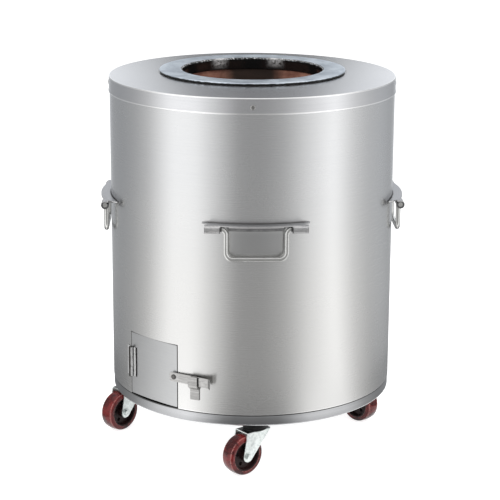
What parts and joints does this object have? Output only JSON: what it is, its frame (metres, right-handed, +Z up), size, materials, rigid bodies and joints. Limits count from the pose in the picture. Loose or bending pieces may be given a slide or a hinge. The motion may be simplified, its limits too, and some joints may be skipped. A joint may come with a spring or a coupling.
{
  "type": "clay tandoor oven",
  "caption": "Clay tandoor oven in a round steel drum with a ring mouth, a hinged fire door with flip latch, swinging bail handles and swivel casters.",
  "frame": {"origin": "on the drum's axis at the floor, under the middle of the base", "axes": "+Z up along the drum's axis, -Y towards the front handle, the fire door between -Y and -X"},
  "size_m": [0.7646, 0.7636, 0.941],
  "materials": {
    "drum_steel": "brushed stainless steel, vertical light bands",
    "cover_steel": "brushed stainless steel",
    "ring_steel": "pale blue-grey satin, mottled",
    "black_seal": "black refractory cement, rough edge",
    "clay": "fired clay with throwing rings",
    "fibre": "ceramic fibre blanket",
    "firebrick": "firebrick",
    "grate_iron": "cast iron, sooty",
    "pan_steel": "brushed steel, darker",
    "frame_steel": "black primer",
    "duct_steel": "stainless sheet, heat-tinted",
    "door_steel": "brushed stainless steel",
    "fitting_steel": "satin stainless steel",
    "handle_steel": "satin stainless steel",
    "bail_steel": "polished stainless rod",
    "caster_zinc": "bright zinc plating",
    "caster_black": "black seal cap",
    "bearing_steel": "polished balls",
    "wheel_hub": "dark moulded core",
    "wheel_tread": "glossy maroon polyurethane"
  },
  "bodies": {
    "oven": {"drum_shell": "drum_steel", "top_cover": "cover_steel", "cover_screws": "fitting_steel", "mouth_ring": "ring_steel", "ring_seal": "black_seal", "clay_pot": "clay", "insulation": "fibre", "floor_slab": "firebrick", "grate_stand": "firebrick", "charcoal_grate": "grate_iron", "base_pan": "pan_steel", "base_frame": "frame_steel", "air_duct": "duct_steel", "hinge_fixed_leaf": "fitting_steel", "hinge_pin": "fitting_steel", "latch_catch": "fitting_steel", "handle_bracket_front": "handle_steel", "handle_bracket_right": "handle_steel", "handle_bracket_rear": "handle_steel", "handle_bracket_left": "handle_steel", "caster_nuts": "caster_zinc", "caster_head_front": "caster_black", "caster_head_right": "caster_black", "caster_head_rear": "caster_black", "caster_head_left": "caster_black", "caster_balls_front": "bearing_steel", "caster_balls_right": "bearing_steel", "caster_balls_rear": "bearing_steel", "caster_balls_left": "bearing_steel"},
    "door": {"door_panel": "door_steel", "door_liner": "duct_steel", "hinge_door_leaf": "fitting_steel", "latch_rivet": "fitting_steel"},
    "latch": {"latch_bar": "fitting_steel"},
    "bail_front": {"handle_bail_front": "bail_steel"},
    "bail_right": {"handle_bail_right": "bail_steel"},
    "bail_rear": {"handle_bail_rear": "bail_steel"},
    "bail_left": {"handle_bail_left": "bail_steel"},
    "fork_front": {"caster_fork_front": "caster_zinc", "caster_axle_front": "caster_zinc"},
    "wheel_front": {"caster_hub_front": "wheel_hub", "caster_tread_front": "wheel_tread"},
    "fork_right": {"caster_fork_right": "caster_zinc", "caster_axle_right": "caster_zinc"},
    "wheel_right": {"caster_hub_right": "wheel_hub", "caster_tread_right": "wheel_tread"},
    "fork_rear": {"caster_fork_rear": "caster_zinc", "caster_axle_rear": "caster_zinc"},
    "wheel_rear": {"caster_hub_rear": "wheel_hub", "caster_tread_rear": "wheel_tread"},
    "fork_left": {"caster_fork_left": "caster_zinc", "caster_axle_left": "caster_zinc"},
    "wheel_left": {"caster_hub_left": "wheel_hub", "caster_tread_left": "wheel_tread"}
  },
  "joints": [
    {"name": "door_hinge", "type": "hinge", "parent": "oven", "child": "door", "pos_m": [-0.29714, -0.20422, 0.2405], "axis": [0, 0, -1], "range_deg": [0, 120]},
    {"name": "latch_pivot", "type": "hinge", "parent": "door", "child": "latch", "pos_m": [-0.1839, -0.30365, 0.236], "axis": [-0.518, -0.8554, 0], "range_deg": [0, 90]},
    {"name": "bail_front_swing", "type": "hinge", "parent": "oven", "child": "bail_front", "pos_m": [0.01146, -0.36482, 0.62], "axis": [-0.9995, -0.0314, 0], "range_deg": [-2.5, 90]},
    {"name": "bail_right_swing", "type": "hinge", "parent": "oven", "child": "bail_right", "pos_m": [0.36482, 0.01146, 0.62], "axis": [0.0314, -0.9995, 0], "range_deg": [-2.5, 90]},
    {"name": "bail_rear_swing", "type": "hinge", "parent": "oven", "child": "bail_rear", "pos_m": [-0.01146, 0.36482, 0.62], "axis": [0.9995, 0.0314, 0], "range_deg": [-2.5, 90]},
    {"name": "bail_left_swing", "type": "hinge", "parent": "oven", "child": "bail_left", "pos_m": [-0.36482, -0.01146, 0.62], "axis": [-0.0314, 0.9995, 0], "range_deg": [-2.5, 90]},
    {"name": "swivel_front", "type": "hinge", "parent": "oven", "child": "fork_front", "pos_m": [0.00989, -0.31484, 0.112], "axis": [0, 0, 1], "continuous": true},
    {"name": "wheel_front_spin", "type": "hinge", "parent": "fork_front", "child": "wheel_front", "pos_m": [-0.01964, -0.33876, 0.05], "axis": [-0.6293, 0.7771, 0], "continuous": true},
    {"name": "swivel_right", "type": "hinge", "parent": "oven", "child": "fork_right", "pos_m": [0.31484, 0.00989, 0.112], "axis": [0, 0, 1], "continuous": true},
    {"name": "wheel_right_spin", "type": "hinge", "parent": "fork_right", "child": "wheel_right", "pos_m": [0.28797, 0.03676, 0.05], "axis": [0.7071, 0.7071, 0], "continuous": true},
    {"name": "swivel_rear", "type": "hinge", "parent": "oven", "child": "fork_rear", "pos_m": [-0.00989, 0.31484, 0.112], "axis": [0, 0, 1], "continuous": true},
    {"name": "wheel_rear_spin", "type": "hinge", "parent": "fork_rear", "child": "wheel_rear", "pos_m": [0.01964, 0.33876, 0.05], "axis": [0.6293, -0.7771, 0], "continuous": true},
    {"name": "swivel_left", "type": "hinge", "parent": "oven", "child": "fork_left", "pos_m": [-0.31484, -0.00989, 0.112], "axis": [0, 0, 1], "continuous": true},
    {"name": "wheel_left_spin", "type": "hinge", "parent": "fork_left", "child": "wheel_left", "pos_m": [-0.34027, -0.03813, 0.05], "axis": [-0.7431, 0.6691, 0], "continuous": true}
  ]
}
